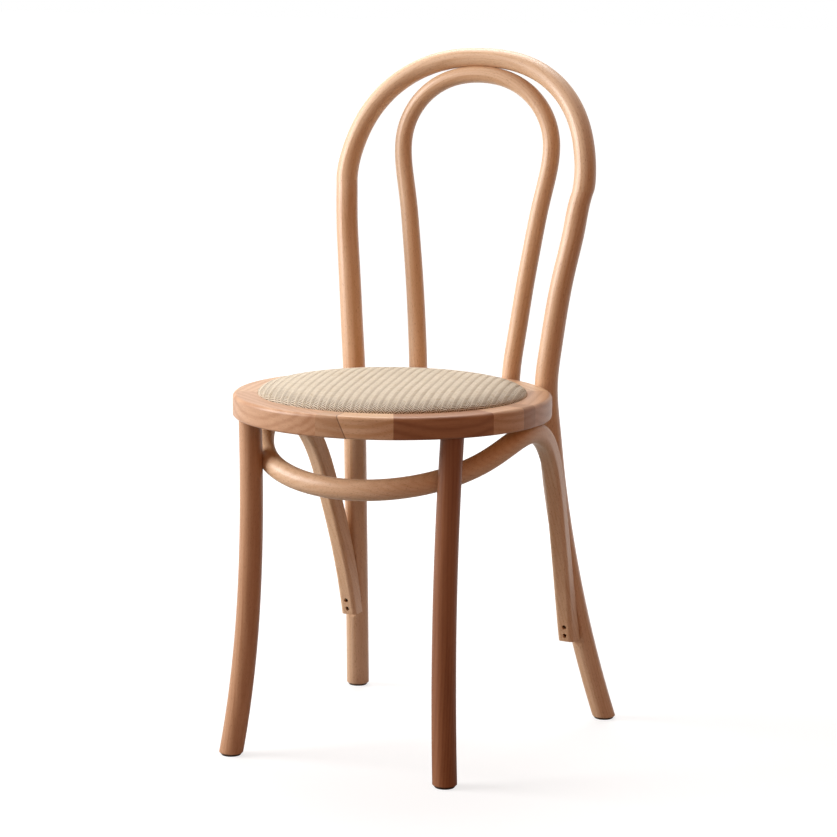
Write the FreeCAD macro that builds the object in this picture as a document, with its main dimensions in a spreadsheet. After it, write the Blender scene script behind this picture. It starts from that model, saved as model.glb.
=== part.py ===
import FreeCAD, Part
import math
import os

import Sketcher

# A bentwood cafe chair: a round seat rim glued up from segments with a woven drop-in pad, two bent back
# posts that run down as rear legs, a bent arch and an inner loop for the back, two bent front legs and one
# long bent brace under the seat. X runs across, +Y to the back, +Z up; the origin is on the floor, at the
# middle of the chair's box. Lengths are millimetres and angles are degrees.

doc = FreeCAD.newDocument("cafe_chair")
sheet = doc.addObject("Spreadsheet::Sheet", "sizes")

driving_sizes = {
    # Seat rim: outer radius, height of its top, section, and the ledge that carries the pad
    "seat_height": 459.5,
    "seat_radius": 202.5,
    "rim_thickness": 28.0,
    "rim_width": 33.0,
    "rim_round": 5.0,
    "rim_ease": 2.5,
    "ledge_width": 14.0,
    "recess_depth": 14.0,
    # Glue joints of the rim, as turns from the chair's front towards +X
    "rim_joint_turn_1": 0.5,
    "rim_joint_turn_2": 28.4,
    "rim_joint_turn_3": 65.6,
    "rim_joint_turn_4": 89.0,
    "rim_joint_turn_5": 125.0,
    "rim_joint_turn_6": 150.0,
    "rim_joint_turn_7": 180.0,
    "rim_joint_turn_8": 210.0,
    "rim_joint_turn_9": 235.0,
    "rim_joint_turn_10": 265.0,
    "rim_joint_turn_11": 298.0,
    # Drop-in pad: plywood panel, foam and the woven cover over them
    "panel_thickness": 6.0,
    "pad_gap": 1.0,
    "cover_thickness": 2.5,
    "crown_rise": 25.5,
    "pad_edge_run": 12.0,
    "pad_edge_rise": 6.0,
    "pad_edge_drop": 5.0,
    "pad_edge_bend": 13.0,
    # Back posts, each one rod from the floor to the shoulder; turns are from the chair's back
    "post_turn": 42.1,
    "post_radius": 15.0,
    "post_notch": 6.0,
    "rear_foot_splay": 45.8,
    "rear_foot_rake": 99.0,
    "rear_foot_radius": 15.3,
    "rear_splay_curve": 0.73,
    "rear_rake_curve": 0.59,
    "shoulder_rise": 250.0,
    "shoulder_flare": 31.5,
    "shoulder_ease": 20.0,
    "shoulder_radius": 14.2,
    "post_flare_curve": 0.39,
    # Arch over the posts
    "arch_rise": 414.8,
    "arch_lean": 89.1,
    "arch_radius": 12.4,
    "back_curve": 0.875,
    "arch_squareness": 2.25,
    "arch_spring": 60.0,
    # Inner loop, from the back of the rim up to the arch
    "loop_turn": 18.83,
    "loop_radius": 12.3,
    "loop_notch": 1.0,
    "loop_flare": 41.0,
    "loop_wide_rise": 290.0,
    "loop_flare_curve": 0.41,
    "loop_squareness": 2.15,
    "loop_top_radius": 10.9,
    "loop_top_forward": 5.0,
    "loop_saddle": 0.6,
    # Front legs, with a round tenon up into the rim
    "front_leg_turn": 51.7,
    "front_leg_inset": 20.5,
    "front_leg_radius": 14.6,
    "front_foot_radius": 15.4,
    "front_foot_out": 9.9,
    "front_foot_forward": 31.0,
    "front_leg_bow": 5.1,
    "front_leg_sabre": 0.62,
    "tenon_radius": 10.0,
    "tenon_length": 14.0,
    # Brace: one bent rod, round in front and flattened along its two rear runs
    "brace_radius": 13.3,
    "brace_end_width": 21.5,
    "brace_end_depth": 25.0,
    "brace_corner": 5.0,
    "brace_round_flat": 0.75,
    "brace_flat_share": 0.22,
    "brace_round_share": 0.30,
    "brace_front_inset": 68.0,
    "brace_front_drop": 75.0,
    "brace_leg_drop": 58.5,
    "brace_leg_saddle": 1.5,
    "brace_side_turn": 75.0,
    "brace_side_inset": 33.5,
    "brace_side_drop": 34.5,
    "brace_peak_turn": 97.8,
    "brace_peak_inset": 18.8,
    "brace_peak_flat": 1.0,
    "brace_bend_turn": 115.0,
    "brace_bend_inset": 6.1,
    "brace_bend_drop": 38.0,
    "brace_run_turn": 128.7,
    "brace_run_outset": 15.0,
    "brace_run_drop": 129.0,
    "brace_end_height": 117.0,
    "brace_end_spare": 6.0,
    "brace_end_inset": 6.5,
    "brace_lap": 60.0,
    "post_flat_depth": 2.4,
    "post_flat_runout": 22.0,
    "post_flat_cutter": 50.0,
    # Glides nailed under the feet
    "glide_radius": 12.8,
    "glide_height": 2.5,
    "glide_ease": 1.0,
    "nail_radius": 1.4,
    "nail_length": 14.0,
    "foot_bevel": 1.5,
    # Screws and dowels
    "screw_radius": 2.0,
    "screw_head_radius": 3.1,
    "screw_head_height": 2.4,
    "screw_sink": 4.0,
    "screw_hold": 16.0,
    "brace_screw_edge": 11.5,
    "brace_screw_pitch": 12.5,
    "rim_screw_radius": 2.5,
    "rim_screw_head_radius": 5.0,
    "rim_screw_head_height": 3.0,
    "rim_screw_sink": 1.5,
    "panel_screw_bite": 4.0,
    "panel_screw_count": 5,
    "panel_screw_turn": 42.0,
    "peak_screw_bite": 12.0,
    "dowel_radius": 4.0,
    "dowel_ease": 0.8,
    "shoulder_dowel_length": 36.0,
    "rim_dowel_length": 24.0,
    "rim_dowel_drop": 9.0,
    "apex_dowel_radius": 3.0,
    "apex_dowel_length": 15.0,
}

for row, (alias, value) in enumerate(driving_sizes.items(), start=1):
    sheet.set("A%d" % row, alias)
    sheet.set("B%d" % row, str(value))
    sheet.setAlias("B%d" % row, alias)
doc.recompute()


class Size:
    """A size from the sheet: its number, and the expression that binds a property to it."""

    def __init__(self, value, text):
        self.value = float(value)
        self.text = text

    def __float__(self):
        return self.value

    def __add__(self, other):
        return Size(self.value + float(other), "(%s + %s)" % (self.text, words(other)))

    def __sub__(self, other):
        return Size(self.value - float(other), "(%s - %s)" % (self.text, words(other)))

    def __mul__(self, other):
        return Size(self.value * float(other), "(%s * %s)" % (self.text, words(other)))

    def __truediv__(self, other):
        return Size(self.value / float(other), "(%s / %s)" % (self.text, words(other)))


def words(amount):
    """The expression for a size or a plain number."""
    return amount.text if isinstance(amount, Size) else repr(float(amount))


def size(alias):
    """The named size, bound to its cell."""
    return Size(sheet.get(alias), "sizes." + alias)


def number(alias):
    """The named size as a plain number."""
    return float(sheet.get(alias))


# Levels and radii that several pieces share
seat_height = size("seat_height")
seat_radius = size("seat_radius")
rim_bottom = seat_height - size("rim_thickness")
ledge_top = seat_height - size("recess_depth")
opening_radius = seat_radius - size("rim_width")
ledge_radius = opening_radius - size("ledge_width")
cover_radius = opening_radius - size("pad_gap")
panel_radius = cover_radius - size("cover_thickness")
panel_top = ledge_top + size("panel_thickness")
post_reach = seat_radius + size("post_radius") - size("post_notch")
post_angle = math.radians(number("post_turn"))
post_seat_back = post_reach * Size(math.cos(post_angle), "cos(sizes.post_turn * 1 deg)")
rear_foot_back = post_seat_back + size("rear_foot_rake")
seat_axis_back = (seat_radius - rear_foot_back - size("rear_foot_radius")) / 2
leg_bottom = number("glide_height") + number("foot_bevel")
rim_screw_height = (float(rim_bottom) + float(ledge_top)) / 2
SIDES = {"left": -1, "right": 1}
ZERO = Size(0, "0")

# How many sections and points shape each bent rod
LEG_SECTIONS = 9
POST_SECTIONS = 6
ARCH_POINTS = 33
ARCH_SECTIONS = 25
LOOP_SECTIONS = 41
BRACE_SECTIONS = 49
LOOP_FLARE_SHARES = (0, 0.2, 0.4, 0.6, 0.8)
LOOP_BEND_TURNS = (15, 33, 52, 71)
SHOULDER_TURN = 5


def point(across, back, height):
    """A point given from the seat's axis, in the chair's frame."""
    return FreeCAD.Vector(across, back + float(seat_axis_back), height)


def bend_share(share, curve):
    """A move from 0 to 1 that starts at a slope of 1 - curve and bends to its end."""
    return (1 - curve) * share + curve * share ** 2


# Sketches and turned pieces
def arc_between(start, end, radius):
    """The short arc from start to end, counter-clockwise."""
    chord = end - start
    left = FreeCAD.Vector(-chord.y, chord.x, 0).normalize()
    rise = math.sqrt(max(radius ** 2 - (chord.Length / 2) ** 2, 0))
    centre = (start + end) * 0.5 + left * rise
    first = math.atan2(start.y - centre.y, start.x - centre.x)
    last = math.atan2(end.y - centre.y, end.x - centre.x)
    if last < first:
        last += 2 * math.pi
    return Part.ArcOfCircle(Part.Circle(centre, FreeCAD.Vector(0, 0, 1), radius), first, last)


def hold(sketch, kind, axis, geometry, spot, amount):
    """Fixes one coordinate of a sketch point to a size, or to the axis where the size is zero."""
    if amount is ZERO:
        sketch.addConstraint(Sketcher.Constraint("PointOnObject", geometry, spot, axis))
        return
    index = sketch.addConstraint(Sketcher.Constraint(kind, -1, 1, geometry, spot, float(amount)))
    sketch.setExpression("Constraints[%d]" % index, amount.text)


def draw_outline(sketch, corners):
    """Draws a closed outline of (across, up, bend) corners. A bend is the radius of the arc to the next
    corner, and a bend given as ("hollow", radius) turns clockwise."""
    spots = []
    for index, (across, up, bend) in enumerate(corners):
        follow = corners[(index + 1) % len(corners)]
        start = FreeCAD.Vector(float(across), float(up), 0)
        end = FreeCAD.Vector(float(follow[0]), float(follow[1]), 0)
        if bend is None:
            sketch.addGeometry(Part.LineSegment(start, end))
            spots.append((1, 2))
        elif isinstance(bend, tuple):
            sketch.addGeometry(arc_between(end, start, float(bend[1])))
            spots.append((2, 1))
        else:
            sketch.addGeometry(arc_between(start, end, float(bend)))
            spots.append((1, 2))
    for index, (across, up, bend) in enumerate(corners):
        before = index - 1 if index else len(corners) - 1
        first = spots[index][0]
        sketch.addConstraint(Sketcher.Constraint("Coincident", before, spots[before][1], index, first))
        hold(sketch, "DistanceX", -2, index, first, across)
        hold(sketch, "DistanceY", -1, index, first, up)
        if bend is not None:
            radius = bend[1] if isinstance(bend, tuple) else bend
            held = sketch.addConstraint(Sketcher.Constraint("Radius", index, float(radius)))
            sketch.setExpression("Constraints[%d]" % held, radius.text)


def turned_body(name, corners, turn=None):
    """A body turned about its own Z axis from an outline of (radius, height, bend) corners."""
    body = doc.addObject("PartDesign::Body", name)
    plane = [item for item in body.Origin.OriginFeatures if item.Role == "XZ_Plane"][0]
    sketch = body.newObject("Sketcher::SketchObject", name + "_outline")
    sketch.AttachmentSupport = (plane, [""])
    sketch.MapMode = "FlatFace"
    draw_outline(sketch, corners)
    revolution = body.newObject("PartDesign::Revolution", name + "_turn")
    revolution.Profile = sketch
    revolution.ReferenceAxis = (sketch, ["V_Axis"])
    revolution.Angle = 360
    if turn is not None:
        revolution.setExpression("Angle", turn.text)
    body.Tip = revolution
    body.setExpression("Placement.Base.y", seat_axis_back.text)
    return body


# Bent rods
def ring_wire(centre, along, beside, radius):
    """A circle about the rod's line, as four arcs that start on the beside direction."""
    other = along.cross(beside)
    spots = []
    for step in range(8):
        turn = math.radians(45 * step)
        spots.append(centre + beside * (radius * math.cos(turn)) + other * (radius * math.sin(turn)))
    spots.append(spots[0])
    return Part.Wire([Part.Arc(*spots[step:step + 3]).toShape() for step in (0, 2, 4, 6)])


def level_ring(centre, radius):
    """A level section of an upright rod."""
    return ring_wire(centre, FreeCAD.Vector(0, 0, 1), FreeCAD.Vector(1, 0, 0), radius)


def flat_wire(centre, along, across, width, depth, corner):
    """A rounded rectangle about the rod's line: four lines and four corner arcs."""
    other = along.cross(across)
    flat_x = width / 2 - corner
    flat_y = depth / 2 - corner
    slant = corner * math.sqrt(0.5)
    edges = []
    quarters = ((1, 1), (-1, 1), (-1, -1), (1, -1))

    def place(x, y):
        return centre + across * x + other * y

    for index, (x, y) in enumerate(quarters):
        side = place(x * width / 2, y * flat_y)
        middle = place(x * (flat_x + slant), y * (flat_y + slant))
        end = place(x * flat_x, y * depth / 2)
        if x != y:
            side, end = end, side
        edges.append(Part.Arc(side, middle, end).toShape())
        next_x, next_y = quarters[(index + 1) % 4]
        if x == y:
            follow = place(next_x * flat_x, next_y * depth / 2)
        else:
            follow = place(next_x * width / 2, next_y * flat_y)
        edges.append(Part.LineSegment(end, follow).toShape())
    return Part.Wire(edges)


def lofted(name, wires, ruled=False):
    """A solid through the given sections."""
    feature = doc.addObject("Part::Feature", name)
    feature.Shape = Part.makeLoft(wires, True, ruled)
    return feature


def joined(name, base, tool):
    """Two solids as one."""
    fuse = doc.addObject("Part::Fuse", name)
    fuse.Base = base
    fuse.Tool = tool
    return fuse


def upright_rod(name, centre_at, radius_at, heights):
    """A rod through level sections, with a bevel round its foot."""
    rod = lofted(name + "_rod", [level_ring(centre_at(height), radius_at(height)) for height in heights])
    floor_end = heights[0] - number("foot_bevel")
    foot_centre = centre_at(heights[0])
    small = level_ring(FreeCAD.Vector(foot_centre.x, foot_centre.y, floor_end),
                       radius_at(heights[0]) - number("foot_bevel"))
    foot = lofted(name + "_foot", [small, level_ring(foot_centre, radius_at(heights[0]))], True)
    return joined(name + "_round", rod, foot)


def spread(first, last, count):
    """Evenly spaced numbers from first to last."""
    return [first + (last - first) * step / (count - 1) for step in range(count)]


# Cutting and grouping
def cut(name, base, tools):
    """The base with every tool taken away; the tools stay clear of each other."""
    bundle = doc.addObject("Part::Compound", name + "_tools")
    bundle.Links = tools
    piece = doc.addObject("Part::Cut", name)
    piece.Base = base
    piece.Tool = bundle
    return piece


def group(name, body, placements):
    """Copies of one small piece, as separate solids in one node."""
    doc.recompute()
    feature = doc.addObject("Part::Feature", name)
    copies = []
    for placement in placements:
        copy = body.Shape.copy()
        copy.Placement = placement.multiply(body.Placement.inverse()).multiply(copy.Placement)
        copies.append(copy)
    feature.Shape = Part.makeCompound(copies)
    return feature


def aimed(position, direction):
    """A placement whose Z axis points along direction."""
    return FreeCAD.Placement(position, FreeCAD.Rotation(FreeCAD.Vector(0, 0, 1), direction))


def screw_body(name, head_radius, head_height, shank_radius, length):
    """A screw that points up, its head's top at height zero, with a tapered tip."""
    end = head_height + length
    corners = [(ZERO, ZERO, None), (head_radius, ZERO, None), (head_radius, head_height, None),
               (shank_radius, head_height, None), (shank_radius, end - shank_radius * 2, None),
               (ZERO, end, None)]
    return turned_body(name, corners)


def screws(name, length, spots, kind="screw"):
    """A group of screws and the group that cuts their holes. Each spot is where the head's seat lies and
    the way that the screw is driven. The cutters also clear the way that the head goes in."""
    head_height = size(kind + "_head_height")
    sizes_of_kind = (size(kind + "_head_radius"), size(kind + "_radius"))
    sink = size(kind + "_sink")
    body = screw_body(name + "_body", sizes_of_kind[0], head_height, sizes_of_kind[1], length)
    cutter = screw_body(name + "_cutter", sizes_of_kind[0], head_height + sink, sizes_of_kind[1], length)
    heads = [aimed(seat - way * float(head_height), way) for seat, way in spots]
    bores = [aimed(seat - way * float(head_height + sink), way) for seat, way in spots]
    return group(name, body, heads), group(name + "_holes", cutter, bores)


def dowels(name, radius, length, spots):
    """A group of dowels, each given by its middle and its direction."""
    ease = size("dowel_ease")
    corners = [(ZERO, ZERO, None), (radius - ease, ZERO, None), (radius, ease, None),
               (radius, length - ease, None), (radius - ease, length, None), (ZERO, length, None)]
    body = turned_body(name + "_body", corners)
    return group(name, body, [aimed(middle - way * (float(length) / 2), way) for middle, way in spots])


# Lines of the bent rods, from the seat's axis
post_half_spacing = float(post_reach) * math.sin(post_angle)
shoulder_half_spacing = post_half_spacing + number("shoulder_flare")
shoulder_climb = number("shoulder_flare") * (1 + number("post_flare_curve")) - number("shoulder_ease")
shoulder_slope = shoulder_climb / number("shoulder_rise")
arch_back = float(post_seat_back) + number("arch_lean")
shoulder_height = number("seat_height") + number("shoulder_rise")
arch_height = number("seat_height") + number("arch_rise")


def back_line(height):
    """How far back the posts and the arch stand at a height above the seat."""
    share = (height - number("seat_height")) / number("arch_rise")
    return float(post_seat_back) + number("arch_lean") * bend_share(share, number("back_curve"))


def post_centre(side, height):
    """The middle of a back post at a height."""
    if height < number("seat_height"):
        share = 1 - (height - leg_bottom) / (number("seat_height") - leg_bottom)
        out = number("rear_foot_splay") * bend_share(share, number("rear_splay_curve"))
        rake = number("rear_foot_rake") * bend_share(share, number("rear_rake_curve"))
        back = float(post_seat_back) + rake
    else:
        share = (height - number("seat_height")) / number("shoulder_rise")
        out = number("shoulder_flare") * bend_share(share, number("post_flare_curve"))
        out += number("shoulder_ease") * share ** 4 * (1 - share)
        back = back_line(height)
    return point(side * (post_half_spacing + out), back, height)


def post_radius_at(height):
    """The post's radius: largest at the seat, less at the foot and at the shoulder."""
    if height < number("seat_height"):
        share = (height - leg_bottom) / (number("seat_height") - leg_bottom)
        return number("rear_foot_radius") + (number("post_radius") - number("rear_foot_radius")) * share
    share = (height - number("seat_height")) / number("shoulder_rise")
    return number("post_radius") + (number("shoulder_radius") - number("post_radius")) * share


front_leg_reach = number("seat_radius") - number("front_leg_inset")
front_leg_angle = math.radians(number("front_leg_turn"))
front_leg_top = float(rim_bottom)


def front_leg_centre(side, height):
    """The middle of a front leg: straight from the rim, then a sabre curve to the foot."""
    share = 1 - (height - leg_bottom) / (front_leg_top - leg_bottom)
    bow = 4 * number("front_leg_bow") * share * (1 - share)
    half = front_leg_reach * math.sin(front_leg_angle) + number("front_foot_out") * share ** 3 - bow
    sabre = (1 - number("front_leg_sabre")) * share + number("front_leg_sabre") * share ** 3
    front = front_leg_reach * math.cos(front_leg_angle) + number("front_foot_forward") * sabre
    return point(side * half, -front, height)


def front_leg_radius_at(height):
    """The front leg's radius, which grows a little towards the foot."""
    share = 1 - (height - leg_bottom) / (front_leg_top - leg_bottom)
    return number("front_leg_radius") + (number("front_foot_radius") - number("front_leg_radius")) * share


def arch_point(turn):
    """The middle of the arch, from the right shoulder at turn 0 to the left one at 180. It springs from the
    shoulder in line with the post."""
    power = 2 / number("arch_squareness")
    swing = math.radians(turn)
    climb = (arch_height - shoulder_height) * abs(math.sin(swing)) ** power
    half = shoulder_half_spacing * abs(math.cos(swing)) ** power
    half += shoulder_slope * climb * max(1 - climb / number("arch_spring"), 0) ** 2
    if turn > 90:
        half = -half
    height = shoulder_height + climb
    return point(half, back_line(height), height)


apex_gap = number("arch_radius") + number("loop_top_radius") - number("loop_saddle")
loop_apex_height = arch_height - math.sqrt(apex_gap ** 2 - number("loop_top_forward") ** 2)
loop_apex_back = arch_back - number("loop_top_forward")
loop_reach = number("seat_radius") + number("loop_radius") - number("loop_notch")
loop_angle = math.radians(number("loop_turn"))
loop_half_spacing = loop_reach * math.sin(loop_angle)
loop_seat_back = loop_reach * math.cos(loop_angle)


def loop_line(half, height):
    """A point of the inner loop, which leans back evenly from the seat to its top."""
    share = (height - number("seat_height")) / (loop_apex_height - number("seat_height"))
    return point(half, loop_seat_back + (loop_apex_back - loop_seat_back) * max(share, 0), height)


def loop_points():
    """Points along the loop, from the foot of its right leg over the top to the left foot."""
    narrow = loop_half_spacing
    wide = narrow + number("loop_flare")
    wide_height = number("seat_height") + number("loop_wide_rise")
    right = [loop_line(narrow, float(rim_bottom))]
    for share in LOOP_FLARE_SHARES:
        half = narrow + number("loop_flare") * bend_share(share, number("loop_flare_curve"))
        right.append(loop_line(half, number("seat_height") + number("loop_wide_rise") * share))
    power = 2 / number("loop_squareness")
    for turn in LOOP_BEND_TURNS:
        swing = math.radians(turn)
        height = wide_height + (loop_apex_height - wide_height) * math.sin(swing) ** power
        right.append(loop_line(wide * math.cos(swing) ** power, height))
    left = [FreeCAD.Vector(-spot.x, spot.y, spot.z) for spot in reversed(right)]
    return right + [loop_line(0, loop_apex_height)] + left


def smooth_line(spots):
    """A smooth edge through the given points."""
    curve = Part.BSplineCurve()
    curve.interpolate(spots)
    return curve.toShape()


def stations(edge, count):
    """Evenly spaced places on an edge: share of its length, point and direction."""
    for share in spread(0, 1, count):
        spot = edge.getParameterByLength(edge.Length * share)
        yield share, edge.valueAt(spot), edge.tangentAt(spot).normalize()


def bow_sections(edge, count, foot_radius, top_radius):
    """Round sections along a bow, which thins towards its middle."""
    wires = []
    for share, centre, along in stations(edge, count):
        if share in (0, 1):
            along = FreeCAD.Vector(0, 0, 1 if share == 0 else -1)
        beside = FreeCAD.Vector(0, 1, 0)
        beside = (beside - along * beside.dot(along)).normalize()
        middle = 1 - abs(2 * share - 1)
        wires.append(ring_wire(centre, along, beside, foot_radius + (top_radius - foot_radius) * middle))
    return wires


# The brace's line, from its right end over the front to its left end
brace_peak_height = float(rim_bottom) - number("brace_radius") + number("brace_peak_flat")


def brace_leg_contact(side):
    """The middle of the brace where it passes a front leg, and the way from there to the leg."""
    leg = front_leg_centre(side, float(rim_bottom) - number("brace_leg_drop"))
    outward = FreeCAD.Vector(leg.x, leg.y - float(seat_axis_back), 0).normalize()
    reach = front_leg_radius_at(leg.z) + number("brace_radius") - number("brace_leg_saddle")
    return leg - outward * reach, outward


lap_middle = number("brace_end_height") + number("brace_lap") / 2


def lap_slope():
    """How fast the post leans forward as it rises past the brace's end."""
    low = post_centre(1, number("brace_end_height"))
    high = post_centre(1, number("brace_end_height") + number("brace_lap"))
    return (high.y - low.y) / number("brace_lap")


lap_tilt = math.atan(-lap_slope())
lap_back = FreeCAD.Vector(0, math.cos(lap_tilt), math.sin(lap_tilt))


def lap_point(side, height):
    """The middle of the brace's straight end, flat against the front of the post."""
    post = post_centre(side, lap_middle)
    inset = number("brace_end_inset")
    gap = post_radius_at(lap_middle) * math.cos(lap_tilt) - number("post_flat_depth")
    reach = (gap + number("brace_end_depth") / 2) / math.cos(lap_tilt)
    end = post_centre(side, number("brace_end_height"))
    across = end.x - side * inset
    return FreeCAD.Vector(across, post.y - reach - (height - lap_middle) * math.tan(lap_tilt), height)


def seat_point(side, turn, inset, height):
    """A point on one side, a turn from the chair's front and an inset from the rim's outside."""
    swing = math.radians(turn)
    reach = number("seat_radius") - inset
    return point(side * reach * math.sin(swing), -reach * math.cos(swing), height)


def brace_peak(side, height):
    """A point over or under the brace's highest place, where it meets the rim."""
    return seat_point(side, number("brace_peak_turn"), number("brace_peak_inset"), height)


def brace_points():
    """Points along the brace, right end first."""
    bottom = float(rim_bottom)
    end = number("brace_end_height")
    right = [lap_point(1, end - number("brace_end_spare")), lap_point(1, end + number("brace_lap"))]
    right.append(seat_point(1, number("brace_run_turn"), -number("brace_run_outset"),
                            bottom - number("brace_run_drop")))
    right.append(seat_point(1, number("brace_bend_turn"), number("brace_bend_inset"),
                            bottom - number("brace_bend_drop")))
    right.append(brace_peak(1, brace_peak_height))
    right.append(seat_point(1, number("brace_side_turn"), number("brace_side_inset"),
                            bottom - number("brace_side_drop")))
    right.append(brace_leg_contact(1)[0])
    left = [FreeCAD.Vector(-spot.x, spot.y, spot.z) for spot in reversed(right)]
    front = seat_point(1, 0, number("brace_front_inset"), bottom - number("brace_front_drop"))
    return right + [front] + left


def brace_sections(edge):
    """Sections along the brace: flattened near its ends, round from a share of its length on."""
    wires = []
    round_share = number("brace_round_share")
    flat_share = number("brace_flat_share")
    for share, centre, along in stations(edge, BRACE_SECTIONS):
        level = along.cross(FreeCAD.Vector(0, 0, 1)).normalize()
        from_end = min(share, 1 - share)
        flat = min(max((round_share - from_end) / (round_share - flat_share), 0), 1)
        across = 2 * number("brace_radius")
        width = across + (number("brace_end_width") - across) * flat
        depth = across + (number("brace_end_depth") - across) * flat
        round_corner = number("brace_radius") - number("brace_round_flat")
        corner = round_corner + (number("brace_corner") - round_corner) * flat
        wires.append(flat_wire(centre, along, level, width, depth, corner))
    return wires


# Seat rim: the whole ring as a form to cut with, and its segments
def rim_corners():
    """The rim's section, with a ledge inside for the pad."""
    ease = size("rim_ease")
    rounding = size("rim_round")
    return [
        (ledge_radius, rim_bottom, None),
        (seat_radius - ease, rim_bottom, ease),
        (seat_radius, rim_bottom + ease, None),
        (seat_radius, seat_height - rounding, rounding),
        (seat_radius - rounding, seat_height, None),
        (opening_radius + ease, seat_height, ease),
        (opening_radius, seat_height - ease, None),
        (opening_radius, ledge_top, None),
        (ledge_radius, ledge_top, None),
    ]


rim_form = turned_body("rim_form", rim_corners())
joint_turns = [size(alias) for alias in driving_sizes if alias.startswith("rim_joint_turn")]


def toward(turn):
    """The level direction at a turn from the chair's front towards +X."""
    swing = math.radians(turn)
    return FreeCAD.Vector(math.sin(swing), -math.cos(swing), 0)


seat_axis = point(0, 0, 0)
upward = FreeCAD.Vector(0, 0, 1)

# Dowels in the rim's joints, the shoulders and the top of the loop
rim_dowel_spots = []
for joint_turn in joint_turns:
    middle = seat_axis + toward(float(joint_turn)) * (number("seat_radius") - number("rim_width") / 2)
    middle.z = number("seat_height") - number("rim_dowel_drop")
    rim_dowel_spots.append((middle, toward(float(joint_turn) + 90)))
rim_dowels = dowels("rim_dowels", size("dowel_radius"), size("rim_dowel_length"), rim_dowel_spots)

shoulder_spots = []
for side in SIDES.values():
    shoulder = post_centre(side, shoulder_height)
    above = arch_point(SHOULDER_TURN if side > 0 else 180 - SHOULDER_TURN)
    below = post_centre(side, shoulder_height - number("shoulder_dowel_length"))
    shoulder_spots.append((shoulder, (above - below).normalize()))
shoulder_dowels = dowels("shoulder_dowels", size("dowel_radius"), size("shoulder_dowel_length"),
                         shoulder_spots)

arch_apex = point(0, arch_back, arch_height)
loop_apex = point(0, loop_apex_back, loop_apex_height)
apex_way = (arch_apex - loop_apex).normalize()
apex_middle = arch_apex - apex_way * number("arch_radius")
apex_dowel = dowels("apex_dowel", size("apex_dowel_radius"), size("apex_dowel_length"),
                    [(apex_middle, apex_way)])

# Screws from inside the rim into the posts and the loop's legs
post_screw_spots = []
loop_screw_spots = []
screw_level = FreeCAD.Vector(0, 0, rim_screw_height)
for side in SIDES.values():
    post_way = toward(180 - side * number("post_turn"))
    loop_way = toward(180 - side * number("loop_turn"))
    seat_in_rim = float(ledge_radius) + number("rim_screw_sink")
    post_screw_spots.append((seat_axis + screw_level + post_way * seat_in_rim, post_way))
    loop_screw_spots.append((seat_axis + screw_level + loop_way * seat_in_rim, loop_way))
post_screw_length = size("rim_width") + size("ledge_width") - size("rim_screw_sink") + size("post_radius")
loop_screw_length = size("rim_width") + size("ledge_width") - size("rim_screw_sink") + size("loop_radius")
post_screws, post_screw_holes = screws("post_screws", post_screw_length, post_screw_spots, "rim_screw")
loop_screws, loop_screw_holes = screws("loop_screws", loop_screw_length, loop_screw_spots, "rim_screw")

# Screws up through the ledge into the panel, evenly spaced round it
panel_screw_spots = []
panel_screw_count = int(number("panel_screw_count"))
for index in range(panel_screw_count):
    way = toward(number("panel_screw_turn") + index * 360 / panel_screw_count)
    seat = seat_axis + way * (float(ledge_radius) + number("ledge_width") / 2)
    seat.z = float(rim_bottom) + number("screw_sink")
    panel_screw_spots.append((seat, upward))
panel_screw_length = ledge_top - rim_bottom - size("screw_sink") + size("panel_screw_bite")
panel_screws, panel_screw_holes = screws("panel_screws", panel_screw_length, panel_screw_spots)

# Screws through the brace: up into the rim, out into the front legs and back into the rear legs
peak_spots = []
leg_spots = []
end_spots = []
head_depth = number("screw_sink") + number("screw_head_height")
for side in SIDES.values():
    head_seat = brace_peak_height - number("brace_radius") + head_depth
    peak_spots.append((brace_peak(side, head_seat), upward))
    contact, outward = brace_leg_contact(side)
    leg_spots.append((contact - outward * (number("brace_radius") - head_depth), outward))
    for step in range(2):
        along = number("brace_screw_edge") + step * number("brace_screw_pitch")
        spot = lap_point(side, number("brace_end_height") + along * math.cos(lap_tilt))
        face = spot - lap_back * (number("brace_end_depth") / 2)
        end_spots.append((face + lap_back * head_depth, lap_back))
through_brace = size("brace_radius") * 2 - size("screw_sink") - size("screw_head_height")
peak_length = through_brace + size("peak_screw_bite")
brace_peak_screws, brace_peak_holes = screws("brace_peak_screws", peak_length, peak_spots)
brace_leg_screws, brace_leg_holes = screws("brace_leg_screws", through_brace + size("screw_hold"), leg_spots)
through_end = size("brace_end_depth") - size("screw_sink") - size("screw_head_height")
brace_end_screws, brace_end_holes = screws("brace_end_screws", through_end + size("screw_hold"), end_spots)

# Glides under the four feet
glide_corners = [
    (ZERO, ZERO, None),
    (size("glide_radius") - size("glide_ease"), ZERO, None),
    (size("glide_radius"), size("glide_ease"), None),
    (size("glide_radius"), size("glide_height"), None),
    (size("nail_radius"), size("glide_height"), None),
    (size("nail_radius"), size("glide_height") + size("nail_length"), None),
    (ZERO, size("glide_height") + size("nail_length"), None),
]
glide_body = turned_body("glide_body", glide_corners)
glides = {}
for word, side in SIDES.items():
    front_foot = front_leg_centre(side, leg_bottom)
    rear_foot = post_centre(side, leg_bottom)
    front_foot.z = 0
    rear_foot.z = 0
    glides["front_" + word] = group("front_glide_" + word, glide_body, [aimed(front_foot, upward)])
    glides["rear_" + word] = group("rear_glide_" + word, glide_body, [aimed(rear_foot, upward)])

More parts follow.
